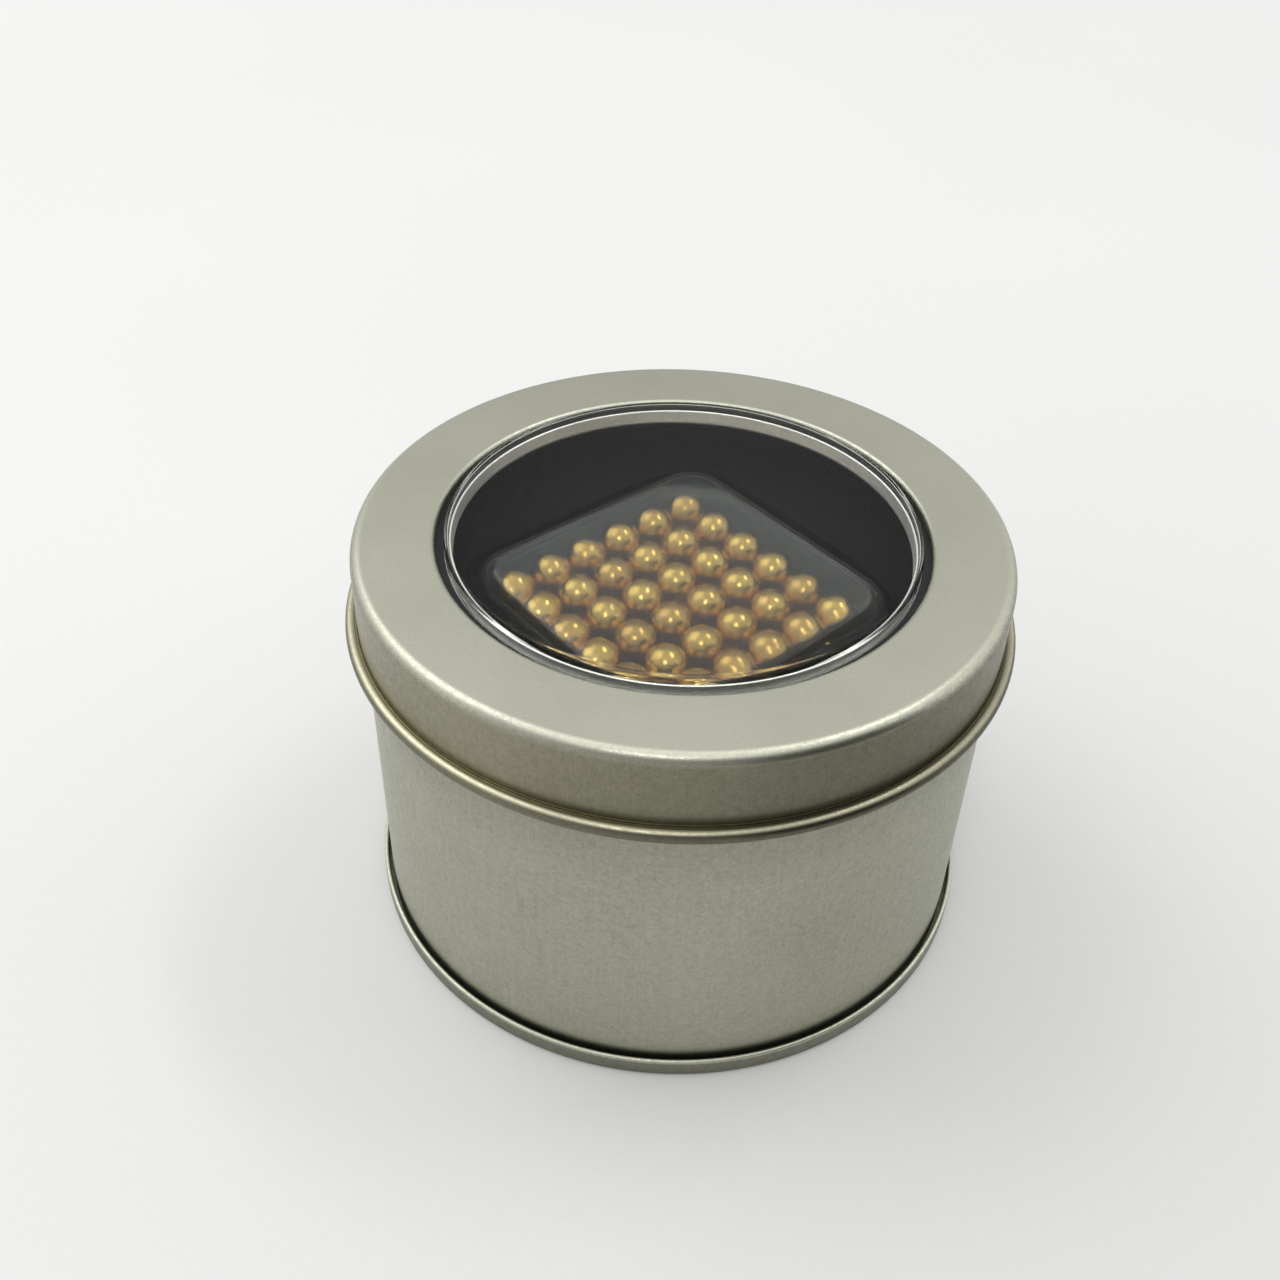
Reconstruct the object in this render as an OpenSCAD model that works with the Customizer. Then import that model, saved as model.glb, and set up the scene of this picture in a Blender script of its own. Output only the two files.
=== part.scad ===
// Round window tin with a cube of magnetic balls in a plastic box, bedded in foam.
// The axis of the tin is Z, and the tin stands on Z = 0. All sizes are in millimetres.

/* [Balls] */
// Diameter of one ball
ball_d = 5; // [3:0.5:8]
// Balls along each edge of the cube
balls_per_side = 6; // [2:1:6]
// Gap between neighbouring balls
ball_gap = 0.02; // [0.01:0.01:0.2]
// Turn of the cube about the axis of the tin
cube_turn = 40.5; // [0:0.5:90]

/* [Plastic box] */
// Gap beside the balls, inside the box
ball_side_gap = 1; // [0.3:0.1:2]
// Share of that gap by which the cube lies off the middle, along its own X
cube_slide = -0.9; // [-0.9:0.1:0.9]
// Gap over the balls, inside the box
ball_top_gap = 0.6; // [0.3:0.05:2]
// Wall of the cover and of the lower tray
box_wall = 0.9; // [0.6:0.1:1.2]
// Wall of the tray's thinner neck, which goes up inside the cover
neck_wall = 0.45; // [0.4:0.05:1.2]
// Gap between the neck and the cover
neck_gap = 0.1; // [0.1:0.05:0.5]
// Height of the neck
neck_h = 6.5; // [3:0.5:10]
// Height of the cover
cover_h = 9; // [7:0.5:14]
// Open line between the cover and the tray's shoulder
box_seam = 0.1; // [0.05:0.05:0.5]
// Radius of the upright corners, outside
box_corner = 5; // [4:0.5:8]
// Radius of the top and bottom edges, outside
box_edge = 2.5; // [1.5:0.25:3.5]

/* [Foam] */
// Gap between the box and the pocket in the foam
pocket_gap = 1; // [0.3:0.1:3]
// Foam left between a pocket corner and the outside of the foam
foam_wall = 10.1; // [4:0.1:20]
// How far the foam stops below the top of the box
foam_drop = 1.2; // [0.5:0.1:20]
// Thickness of the foam pad under the box
pad_t = 6.2; // [2:0.1:15]
// Gap between the foam and the tin's wall
foam_gap = 0.6; // [0.6:0.1:2]
// Gap between pieces that rest on each other
rest_gap = 0.05; // [0.02:0.01:0.2]

/* [Tin body] */
// Thickness of the sheet metal
sheet = 0.25; // [0.2:0.01:0.4]
// Height of the folded hem at the top edge
hem_h = 2.5; // [1:0.1:5]
// Width of the side seam's lap
seam_lap = 4; // [2:0.5:8]
// Width of the line where the lap ends on the outside
seam_line = 0.35; // [0.2:0.05:0.6]
// Depth of that line
seam_depth = 0.12; // [0.05:0.01:0.15]

/* [Base] */
// Height of the rim around the foot
rim_h = 2.4; // [2.4:0.1:5]
// How far the rim stands out from the wall
rim_out = 0.92; // [0.8:0.02:2]
// Thickness of the rim's folded sheet
rim_t = 0.5; // [0.4:0.05:0.7]
// Height of the base panel's underside above the ground
panel_z = 1.9; // [1.5:0.1:4]
// Flat border of the base panel, from the wall in to the pressed step
panel_border = 7.4; // [2:0.2:15]
// How far the middle of the base panel is pressed up
panel_step = 0.3; // [0:0.05:0.3]

/* [Lid] */
// Height of the lid from the bottom of its bead to its flat top
lid_h = 9.95; // [8:0.05:20]
// Gap between the lid's skirt and the wall
lid_gap = 0.3; // [0.1:0.05:0.6]
// Outside radius of the lid's shoulder
shoulder_r = 1.2; // [0.6:0.1:3]
// Width of the flat ring from the skirt to the window hole
lid_ring_w = 8.8; // [6:0.1:15]
// Diameter of the curled bead
bead_d = 1.55; // [1.2:0.05:2.5]
// Height of the hole's turned-down edge
hole_lip_h = 1.2; // [1:0.1:3]
// Outside radius of the bend at the hole's edge
hole_edge_r = 0.5; // [0.3:0.05:0.9]
// Room from the top of the plastic box to the top of the lid
lid_room = 6.5; // [4.5:0.1:12]

/* [Window] */
// Gap between the window's upright wall and the hole
window_gap = 1; // [0.4:0.1:2]
// Thickness of the clear plastic
window_t = 0.4; // [0.3:0.05:0.55]
// How far the window stands above the lid
window_rise = 0.8; // [0.2:0.1:2]
// Radius of the window's top edge
window_edge_r = 0.7; // [0.6:0.05:1.2]
// Outside width of the window's flange
flange_w = 4.1; // [2:0.1:5]
// Thickness of the black seal between the flange and the lid
seal_t = 0.4; // [0.2:0.05:1]
// Height of the retainer's lip, which turns up inside the window's wall
retainer_lip_h = 1.8; // [1:0.1:2.2]
// How far the foot of that lip lies in from its top
retainer_lean = 0.2; // [0:0.05:1]
// Width of the retainer's top flange
retainer_flange_w = 3; // [1:0.1:3.2]

/* [Hidden] */
$fn = 96;
eps = 0.01;

// The stack of parts, from the ground up.
floor_top = panel_z + sheet + panel_step;
pad_z = floor_top + rest_gap;
pad_top = pad_z + pad_t - panel_step;
box_z = pad_top + rest_gap;
cube_side = balls_per_side * ball_d + (balls_per_side - 1) * ball_gap;
cube_z = box_z + box_wall + rest_gap;
cube_top = cube_z + cube_side;
box_top = cube_top + ball_top_gap + box_wall;
cover_z = box_top - cover_h;
foam_h = box_top - foam_drop - box_z;
tin_h = box_top + lid_room;
lid_under = tin_h - sheet;

// Plan sizes, from the balls outwards.
cavity_side = cube_side + 2 * ball_side_gap;
neck_side = cavity_side + 2 * neck_wall;
box_side = neck_side + 2 * (neck_gap + box_wall);
neck_corner = box_corner - box_wall - neck_gap;
cavity_corner = neck_corner - neck_wall;
pocket_side = box_side + 2 * pocket_gap;
pocket_corner = box_corner + pocket_gap;
pocket_reach = pocket_side / sqrt(2) - pocket_corner * (sqrt(2) - 1);
foam_r = pocket_reach + foam_wall;
body_in_r = foam_r + foam_gap;
body_r = body_in_r + sheet;
hem_w = 2 * sheet + rest_gap;
rim_r = body_r + rim_out;
chuck_r = body_in_r - rest_gap / 2;
panel_ring_r = chuck_r - panel_border;

// The top of the wall, where its hem clears both the flat and the shoulder of the lid.
hem_room = max(0, shoulder_r - sheet - hem_w / 2 - rest_gap);
hem_offset = max(0, shoulder_r - sheet - hem_w / 2 - lid_gap);
hem_rise = sqrt(max(0, pow(hem_room, 2) - pow(hem_offset, 2)));
body_top = min(lid_under - rest_gap, tin_h - shoulder_r + hem_rise + hem_w / 2);

// The lid, from its skirt inwards.
skirt_in_r = body_r + lid_gap;
skirt_r = skirt_in_r + sheet;
hole_r = skirt_r - lid_ring_w;
window_r = hole_r - window_gap;
seal_z = tin_h - hole_lip_h - seal_t;
window_flange_z = seal_z - window_t;
window_top = tin_h + window_rise;
flange_r = window_r + flange_w;
lip_top_r = window_r - window_t - 2 * rest_gap;
retainer_in_r = lip_top_r - sheet - retainer_lean;
retainer_z = window_flange_z - sheet;
lip_top = min(retainer_z + retainer_lip_h, window_top - window_edge_r - 2 * rest_gap);
retainer_wall_r = flange_r + sheet + 2 * rest_gap;

function row_name(layer, row) = str("ball_layer_", layer, "_row_", row);
ROWS = [for (layer = [1:balls_per_side], row = [1:balls_per_side]) [layer, row]];

// A rectangle in the section plane, from its inner bottom corner to its outer top corner.
module bar(r0, z0, r1, z1) {
    translate([r0, z0]) square([r1 - r0, z1 - z0]);
}

// An upright slot shape with round ends, as wide as r1 - r0.
module pill(r0, z0, r1, z1) {
    end_r = (r1 - r0) / 2;
    bar(r0, z0 + end_r, r1, z1 - end_r);
    translate([r0 + end_r, z0 + end_r]) circle(end_r);
    translate([r0 + end_r, z1 - end_r]) circle(end_r);
}

// A quarter of a bent sheet: outer radius r, about the given centre, towards the given quadrant.
module bend(centre_r, centre_z, r, side, up) {
    translate([centre_r, centre_z])
        intersection() {
            difference() {
                circle(r);
                circle(r - sheet);
            }
            translate([side > 0 ? 0 : -r, up > 0 ? 0 : -r]) square(r);
        }
}

// A square plan with round corners.
module round_square(side, corner) {
    inner = side / 2 - corner;
    square([side, 2 * inner], center = true);
    square([2 * inner, side], center = true);
    for (x = [-inner, inner], y = [-inner, inner]) translate([x, y]) circle(corner);
}

// A flat-topped section, as wide as 2 * half, whose two lower corners are round.
module round_foot_section(half, height, edge) {
    bar(-half, edge, half, height);
    bar(edge - half, 0, half - edge, height);
    for (x = [edge - half, half - edge]) translate([x, edge]) circle(edge);
}

// A block with round upright corners and a round lower edge.
module round_edged_block(side, height, corner, edge) {
    inner = side / 2 - corner;
    for (turn = [0, 90]) rotate([90, 0, turn])
        linear_extrude(2 * inner, center = true) round_foot_section(side / 2, height, edge);
    for (x = [-inner, inner], y = [-inner, inner]) translate([x, y, 0]) rotate_extrude()
        intersection() {
            round_foot_section(corner, height, edge);
            bar(0, 0, corner, height);
        }
}

// The section of the rolled wall: one sheet, with its top edge folded in.
module body_wall_section() {
    bar(body_in_r, sheet, body_r, body_top - hem_w / 2);
    pill(body_r - hem_w, body_top - hem_h, body_r, body_top);
}

module body_wall() {
    lap_bottom = floor_top + sheet;
    lap_h = body_top - hem_h - lap_bottom;
    color([0.62, 0.62, 0.55]) difference() {
        union() {
            rotate_extrude() body_wall_section();
            intersection() {
                translate([0, 0, lap_bottom]) rotate_extrude()
                    bar(body_in_r - sheet, 0, body_in_r + eps, lap_h);
                translate([-seam_lap / 2, 0, 0]) cube([seam_lap, 2 * body_r, body_top]);
            }
        }
        translate([seam_lap / 2, body_r - seam_depth, rim_h])
            cube([seam_line, body_r, body_top - rim_h - hem_h]);
    }
}

// The section of the base: a rim folded up outside the wall, a foot, and a raised panel.
module base_section() {
    pill(rim_r - rim_t, 0, rim_r, rim_h);
    bar(chuck_r - sheet, 0, rim_r - rim_t / 2, sheet);
    bar(chuck_r - sheet, 0, chuck_r, panel_z + sheet);
    bar(panel_ring_r - sheet, panel_z, chuck_r, panel_z + sheet);
    bar(0, panel_z + panel_step, panel_ring_r, floor_top);
    bar(panel_ring_r - sheet, panel_z, panel_ring_r, floor_top);
}

module base_end() {
    color([0.5, 0.5, 0.45]) rotate_extrude() base_section();
}

// The section of the lid: hole edge, flat ring, shoulder, skirt and a bead curled outwards.
module lid_section() {
    bead_z = tin_h - lid_h + bead_d / 2;
    difference() {
        translate([skirt_in_r + bead_d / 2, bead_z]) circle(d = bead_d);
        translate([skirt_in_r + bead_d / 2, bead_z]) circle(d = bead_d - 2 * sheet);
        bar(skirt_r, bead_z, skirt_r + sheet, bead_z + bead_d);
    }
    bar(skirt_in_r, bead_z, skirt_r, tin_h - shoulder_r);
    bend(skirt_r - shoulder_r, tin_h - shoulder_r, shoulder_r, 1, 1);
    bar(hole_r + hole_edge_r, lid_under, skirt_r - shoulder_r, tin_h);
    bend(hole_r + hole_edge_r, tin_h - hole_edge_r, hole_edge_r, -1, 1);
    bar(hole_r, seal_z + seal_t, hole_r + sheet, tin_h - hole_edge_r);
}

module lid_shell() {
    color([0.68, 0.68, 0.61]) rotate_extrude() lid_section();
}

// The section of the window: a flat pane, a round edge, an upright wall and a flange.
module window_section() {
    bar(0, window_top - window_t, window_r - window_edge_r, window_top);
    translate([window_r - window_edge_r, window_top - window_edge_r])
        intersection() {
            difference() {
                circle(window_edge_r);
                circle(window_edge_r - window_t);
            }
            square(window_edge_r);
        }
    bar(window_r - window_t, window_flange_z, window_r, window_top - window_edge_r);
    bar(window_r - window_t, window_flange_z, flange_r, seal_z);
}

module window_pane() {
    color([0.85, 0.9, 0.9, 0.35]) rotate_extrude() window_section();
}

// The seal: a flat ring on the window's flange, under the edge of the hole.
module window_seal() {
    color([0.08, 0.08, 0.08]) rotate_extrude()
        bar(window_r + rest_gap, seal_z, flange_r, seal_z + seal_t);
}

// The retainer: a lip inside the window's wall, a shelf under its flange, a wall and a top flange.
module retainer_section() {
    polygon([[retainer_in_r, retainer_z], [retainer_in_r + sheet, retainer_z],
             [lip_top_r, lip_top], [lip_top_r - sheet, lip_top]]);
    bar(retainer_in_r + sheet / 2, retainer_z, retainer_wall_r, retainer_z + sheet);
    bar(retainer_wall_r - sheet, retainer_z, retainer_wall_r, lid_under);
    bar(retainer_wall_r - sheet, lid_under - sheet, retainer_wall_r + retainer_flange_w, lid_under);
}

module window_retainer() {
    color([0.8, 0.8, 0.78]) rotate_extrude() retainer_section();
}

module foam_insert() {
    color([0.12, 0.12, 0.12]) translate([0, 0, box_z]) difference() {
        cylinder(r = foam_r, h = foam_h);
        rotate([0, 0, cube_turn]) translate([0, 0, -eps])
            linear_extrude(foam_h + 2 * eps) round_square(pocket_side, pocket_corner);
    }
}

module foam_base_pad() {
    color([0.16, 0.16, 0.16]) translate([0, 0, pad_z]) cylinder(r = foam_r, h = pad_top - pad_z);
}

module box_tray() {
    shoulder_z = cover_z - box_seam;
    tray_h = shoulder_z - box_z;
    color([0.75, 0.8, 0.8, 0.4]) rotate([0, 0, cube_turn]) translate([0, 0, box_z])
        difference() {
            union() {
                round_edged_block(box_side, tray_h, box_corner, box_edge);
                translate([0, 0, tray_h - eps])
                    linear_extrude(neck_h + eps) round_square(neck_side, neck_corner);
            }
            translate([0, 0, box_wall]) linear_extrude(tray_h + neck_h)
                round_square(cavity_side, cavity_corner);
        }
}

module box_cover() {
    color([0.8, 0.85, 0.85, 0.4]) rotate([0, 0, cube_turn]) translate([0, 0, box_top])
        mirror([0, 0, 1]) difference() {
            round_edged_block(box_side, cover_h, box_corner, box_edge);
            translate([0, 0, box_wall])
                round_edged_block(box_side - 2 * box_wall, cover_h, box_corner - box_wall,
                                  box_edge - box_wall);
        }
}

// One row of balls. Rows run along the cube's own X, and layers count from the bottom.
module ball_row(layer, row) {
    pitch = ball_d + ball_gap;
    first = (ball_d - cube_side) / 2;
    slide = cube_slide * ball_side_gap;
    color([0.83, 0.62, 0.22]) rotate([0, 0, cube_turn])
        for (place = [0:balls_per_side - 1])
            translate([slide + first + place * pitch, first + (row - 1) * pitch,
                       cube_z + ball_d / 2 + (layer - 1) * pitch])
                sphere(d = ball_d, $fn = 32);
}

body_wall();
base_end();
lid_shell();
window_pane();
window_seal();
window_retainer();
foam_insert();
foam_base_pad();
box_tray();
box_cover();
for (place = ROWS)
    ball_row(place[0], place[1]);
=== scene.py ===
"""Looks for a round window tin with a cube of magnetic balls in a plastic box, bedded in foam."""

import math

import bmesh
import bpy
from bpy.props import FloatProperty, FloatVectorProperty, IntProperty, PointerProperty
from bpy.types import Operator, Panel, PropertyGroup
from mathutils import Matrix, Vector, noise


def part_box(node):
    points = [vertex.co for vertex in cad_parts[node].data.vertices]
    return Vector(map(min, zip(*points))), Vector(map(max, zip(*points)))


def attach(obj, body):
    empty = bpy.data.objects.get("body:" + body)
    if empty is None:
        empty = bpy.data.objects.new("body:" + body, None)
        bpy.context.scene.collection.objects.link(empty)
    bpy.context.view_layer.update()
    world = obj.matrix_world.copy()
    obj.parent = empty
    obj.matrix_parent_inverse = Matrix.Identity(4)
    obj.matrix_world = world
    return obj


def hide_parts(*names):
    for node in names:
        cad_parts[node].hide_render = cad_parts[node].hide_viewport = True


bl_info = {
    "name": "Window Tin",
    "version": (1, 0, 0),
    "blender": (4, 5, 0),
    "location": "View3D > Sidebar > Window Tin",
    "description": "Builds a round window tin with a boxed cube of magnetic balls",
    "category": "Add Mesh",
}

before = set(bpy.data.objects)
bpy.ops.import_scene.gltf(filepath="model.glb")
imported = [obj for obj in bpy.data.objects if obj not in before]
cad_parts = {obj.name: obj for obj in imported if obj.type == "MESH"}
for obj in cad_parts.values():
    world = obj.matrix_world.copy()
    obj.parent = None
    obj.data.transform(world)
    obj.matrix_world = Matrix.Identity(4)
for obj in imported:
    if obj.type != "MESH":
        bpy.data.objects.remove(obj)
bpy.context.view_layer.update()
MM = 0.001
TOUCHING = 1e-7  # points closer than this, in metres, are one point

# Bends of pressed sheet and of moulded plastic, as outside radii.
SOFT_BEND = 0.35 * MM
TIGHT_BEND = 0.25 * MM
LIP_BEND = 0.3 * MM
WIDE_BEND = 0.6 * MM
MOULD_EDGE = 0.15 * MM

SEAM_SLACK = 0.025 * MM  # between the wall's foot and the base that is folded round it
BALL_SEGMENTS, BALL_RINGS = 32, 16
FOAM_LUMP = 1.6 * MM  # size of the lumps in the foam's skin

FLOAT, VECTOR, INTEGER = "NodeSocketFloat", "NodeSocketVector", "NodeSocketInt"

# The camera's height angle and roll in degrees, its place and its lens in millimetres.
CAMERA_DOWN, CAMERA_ROLL = 39.65, 1.66
CAMERA_PLACE = (-4.3, -124.3, 134.8)
CAMERA_LENS, CAMERA_SENSOR = 40.0, 36.0

# Each lamp's name, power in watts, width and depth, and place in metres.
LAMPS = (
    ("ceiling tube", 1.0, (0.36, 0.10), (0.42, 0.24, 0.94)),
    ("second panel", 0.9, (0.17, 0.17), (-0.08, -0.48, 0.88)),
    ("side strip", 0.16, (0.30, 0.03), (0.79, -0.16, 0.62)),
    ("window light", 2.2, (0.7, 0.7), (-0.58, 0.30, 0.8)),
)
LAMP_AIM = (0.0, 0.0, 0.03)


# ---------------------------------------------------------------- sizes taken from the frame

def reach(node):
    """Half the width of a node, which for a round piece is its radius."""
    low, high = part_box(node)
    return (high[0] - low[0]) / 2


def bottom(node):
    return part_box(node)[0][2]


def top(node):
    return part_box(node)[1][2]


BALLS_PER_SIDE = round(sum(1 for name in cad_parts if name.startswith("ball_layer_")) ** 0.5)
BALL_D = top("ball_layer_1_row_1") - bottom("ball_layer_1_row_1")
BALL_PITCH = bottom("ball_layer_2_row_1") - bottom("ball_layer_1_row_1")


def length(name, description, default):
    """A size that a user may change, in metres."""
    return FloatProperty(
        name=name, description=description, default=default, min=0.0, precision=5,
        subtype="DISTANCE", unit="LENGTH",
    )


def colour(name, description, default):
    """A colour that a user may change, as linear red, green and blue."""
    return FloatVectorProperty(
        name=name, description=description, default=default, min=0.0, max=1.0,
        size=3, subtype="COLOR",
    )


class TinSizes(PropertyGroup):
    """Sizes of the tin that its outside box doesn't give."""

    sheet: length("Sheet", "Thickness of the sheet metal", 0.25 * MM)
    body_r: length("Wall Radius", "Outside radius of the rolled wall", reach("body_wall"))
    hem_h: length("Hem Height", "Height of the folded top edge", 2.5 * MM)
    hem_w: length("Hem Width", "Width of the folded top edge", 0.55 * MM)
    seam_lap: length("Seam Lap", "Width of the side seam's lap", 4 * MM)
    seam_depth: length("Seam Depth", "Depth of the line beside the lap", 0.12 * MM)
    rim_r: length("Rim Radius", "Outside radius of the foot rim", reach("base_end"))
    rim_sheet: length("Rim Sheet", "Thickness of the base's sheet in the rim", 0.22 * MM)
    rim_t: length("Rim Thickness", "Thickness of the rim's two folded layers", 0.5 * MM)
    panel_z: length("Panel Height", "Height of the base panel's underside", 1.9 * MM)
    panel_border: length("Panel Border", "Flat border round the pressed middle", 7.4 * MM)
    panel_step: length("Panel Step", "How far the middle of the base is pressed up", 0.3 * MM)
    lid_gap: length("Lid Gap", "Gap between the lid's skirt and the wall", 0.3 * MM)
    shoulder_r: length("Shoulder", "Outside radius of the lid's shoulder", 1.2 * MM)
    bead_d: length("Bead", "Diameter of the curled bead", 1.55 * MM)
    lid_ring_w: length("Lid Ring", "Width from the skirt to the window hole", 8.8 * MM)
    hole_lip_h: length("Hole Lip", "Height of the hole's turned-down edge", 1.2 * MM)
    hole_edge_r: length("Hole Edge", "Outside radius of the bend at the hole", 0.5 * MM)


class WindowSizes(PropertyGroup):
    """Sizes of the window and the ring that holds it."""

    gap: length("Gap", "Gap between the window's wall and the hole", 1 * MM)
    thickness: length("Thickness", "Thickness of the clear plastic", 0.4 * MM)
    edge_r: length("Edge", "Radius of the window's top edge", 0.7 * MM)
    crown: length("Crown", "How far the pane sags in the middle", 0.12 * MM)
    lip_h: length("Retainer Lip", "Height of the lip inside the window's wall", 1.8 * MM)
    lean: length("Retainer Lean", "How far that lip's foot lies in from its top", 0.2 * MM)
    clearance: length("Lip Gap", "Gap between that lip and the window's wall", 0.1 * MM)
    seal_gap: length("Seal Gap", "Gap between the seal and the window's wall", 0.05 * MM)
    retainer_flange: length("Retainer Flange", "Width of the retainer's top flange", 3 * MM)


class BoxSizes(PropertyGroup):
    """Sizes of the plastic box, the balls in it and the foam around it."""

    turn: FloatProperty(
        name="Turn", description="Turn of the cube about the tin's axis",
        default=math.radians(40.5), subtype="ANGLE", unit="ROTATION",
    )
    corner: length("Corner", "Outside radius of the upright corners", 5 * MM)
    edge: length("Edge", "Outside radius of the top and bottom edges", 2.5 * MM)
    wall: length("Wall", "Wall of the cover and of the tray", 0.9 * MM)
    neck_wall: length("Neck Wall", "Wall of the tray's neck", 0.45 * MM)
    neck_gap: length("Neck Gap", "Gap between the neck and the cover", 0.1 * MM)
    neck_h: length("Neck Height", "Height of the neck inside the cover", 6.5 * MM)
    pocket_gap: length("Pocket Gap", "Gap between the box and the foam", 1 * MM)
    foam_edge: length("Foam Edge", "Radius of the foam's cut edges", 0.5 * MM)
    foam_cells: length("Foam Cells", "Height of the foam's uneven skin", 0.06 * MM)


class Finish(PropertyGroup):
    """Colours and counts that a user may change."""

    tin: colour("Tin", "Satin sheet metal", (0.45, 0.45, 0.365))
    bright: colour("Bright Tin", "Bare inner side of the sheet", (0.78, 0.78, 0.74))
    seal: colour("Seal", "Black rubber", (0.012, 0.012, 0.013))
    foam: colour("Foam", "Black foam", (0.007, 0.0075, 0.007))
    haze: colour("Haze", "Frosted plastic", (0.78, 0.81, 0.80))
    gold: colour("Gold", "Plating on the balls", (0.67, 0.44, 0.11))
    copper: colour("Copper", "Darker balls", (0.54, 0.32, 0.09))
    ground: colour("Ground", "Floor", (0.80, 0.795, 0.785))
    around: IntProperty(
        name="Around", description="Faces around a round piece", default=256, min=32,
    )


def sizes():
    """The four groups of settings, in the order tin, window, box, finish."""
    scene = bpy.context.scene
    return scene.tin_sizes, scene.window_sizes, scene.box_sizes, scene.tin_finish


# ---------------------------------------------------------------- section and sweep helpers

def arc(centre_r, centre_z, radius, start, end, steps=8):
    """Points on an arc, with angles in degrees from +R towards +Z."""
    points = []
    for i in range(steps + 1):
        a = math.radians(start + (end - start) * i / steps)
        points.append((centre_r + radius * math.cos(a), centre_z + radius * math.sin(a)))
    return points


def fillet(corners, steps=7):
    """A path through corners given as (r, z) or (r, z, radius), with an arc at each radius."""
    path = []
    for i, corner in enumerate(corners):
        here = Vector(corner[:2])
        radius = corner[2] if len(corner) > 2 else 0.0
        if not radius:
            path.append(tuple(here))
            continue
        before = (Vector(corners[i - 1][:2]) - here).normalized()
        after = (Vector(corners[(i + 1) % len(corners)][:2]) - here).normalized()
        half = before.angle(after) / 2
        away = radius / math.tan(half)
        centre = here + (before + after).normalized() * (radius / math.sin(half))
        first, last = here + before * away - centre, here + after * away - centre
        sweep = first.angle_signed(last)
        for k in range(steps + 1):
            turned = first.copy()
            turned.rotate(Matrix.Rotation(-sweep * k / steps, 2))
            path.append(tuple(centre + turned))
    return path


def supported(path, closed, margin=0.12 * MM):
    """The path with a point near both ends of each long straight, so that flats shade flat."""
    count = len(path)
    result = []
    for i in range(count if closed else count - 1):
        a, b = Vector(path[i]), Vector(path[(i + 1) % count])
        result.append(tuple(a))
        if (b - a).length > 5 * margin:
            along = (b - a).normalized() * margin
            result += [tuple(a + along), tuple(b - along)]
    if not closed:
        result.append(path[-1])
    return result


def sheet_outline(path, thickness):
    """The closed outline of a bent sheet whose middle follows the path, with round ends."""
    path = [Vector(p) for p in supported(path, closed=False)]
    sides = []
    for i, here in enumerate(path):
        step = path[min(i + 1, len(path) - 1)] - path[max(i - 1, 0)]
        normal = Vector((-step.y, step.x)).normalized() * thickness / 2
        sides.append((here + normal, here - normal, normal))
    left = [tuple(s[0]) for s in sides]
    right = [tuple(s[1]) for s in reversed(sides)]
    start, end = path[0], path[-1]

    def cap(centre, from_point):
        if centre.x < thickness:
            return []
        a = math.degrees(math.atan2(from_point.y - centre.y, from_point.x - centre.x))
        return arc(centre.x, centre.y, thickness / 2, a, a - 180, 6)[1:-1]

    return left + cap(end, sides[-1][0]) + right + cap(start, sides[0][1])


def divided(path, step):
    """The path with its long straights cut into stretches of about one step."""
    result = []
    for a, b in zip(path, path[1:]):
        a, b = Vector(a), Vector(b)
        parts = max(1, round((b - a).length / step))
        result += [tuple(a.lerp(b, k / parts)) for k in range(parts)]
    return result + [path[-1]]


def round_plan(r, angle):
    """The plan of a round piece: every loop is a circle."""
    return r * math.cos(angle), r * math.sin(angle)


def square_plan(half, corner, turn):
    """A plan for square pieces with round corners: loops keep their distance from the outside."""
    least = corner * 0.25
    core = half - corner + least

    def on_loop(r, angle):
        scale = min(1.0, r / core)
        h = core * scale if r < core else r
        c = (least if r < core else corner - (half - r)) * scale
        inner = h - c
        ux, uy = abs(math.cos(angle)), abs(math.sin(angle))
        if h * uy <= inner * ux:
            t = h / ux
        elif h * ux <= inner * uy:
            t = h / uy
        else:
            b = inner * (ux + uy)
            t = b + math.sqrt(max(0.0, b * b - 2 * inner * inner + c * c))
        return t * math.cos(angle + turn), t * math.sin(angle + turn)
    return on_loop


def pocket_plan(pocket_half, square, outer_r):
    """A plan that runs from a square pocket to a round outside, as foam rings have."""
    def on_loop(r, angle):
        share = (r - pocket_half) / (outer_r - pocket_half)
        inner = Vector(square(pocket_half, angle))
        outer = Vector((math.cos(angle), math.sin(angle))) * outer_r
        return tuple(inner.lerp(outer, share))
    return on_loop


def even_angles():
    around = sizes()[3].around
    return [2 * math.pi * i / around for i in range(around)]


def sweep(name, outline, plan=round_plan, angles=()):
    """A closed piece: the outline, as (r, z) points, carried round the plan."""
    angles = angles or even_angles()
    bm = bmesh.new()
    loops = []
    for r, z in outline:
        if r < TOUCHING:
            loops.append([bm.verts.new((0, 0, z))])
        else:
            loops.append([bm.verts.new((*plan(r, a), z)) for a in angles])
    for i, loop in enumerate(loops):
        after = loops[(i + 1) % len(loops)]
        for k in range(len(angles)):
            corners = [loop[k % len(loop)], loop[(k + 1) % len(loop)],
                       after[(k + 1) % len(after)], after[k % len(after)]]
            unique = list(dict.fromkeys(corners))
            if len(unique) > 2:
                bm.faces.new(unique)
    return finish_mesh(name, bm)


def finish_mesh(name, bm):
    """Merges doubles, turns faces outwards, shades smooth and links the object."""
    bmesh.ops.remove_doubles(bm, verts=bm.verts, dist=TOUCHING)
    loose = [v for v in bm.verts if not v.link_faces]
    bmesh.ops.delete(bm, geom=loose, context="VERTS")
    bmesh.ops.recalc_face_normals(bm, faces=bm.faces)
    for face in bm.faces:
        face.smooth = True
    mesh = bpy.data.meshes.new(name)
    bm.to_mesh(mesh)
    bm.free()
    piece = bpy.data.objects.new(name, mesh)
    bpy.context.scene.collection.objects.link(piece)
    return piece


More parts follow.
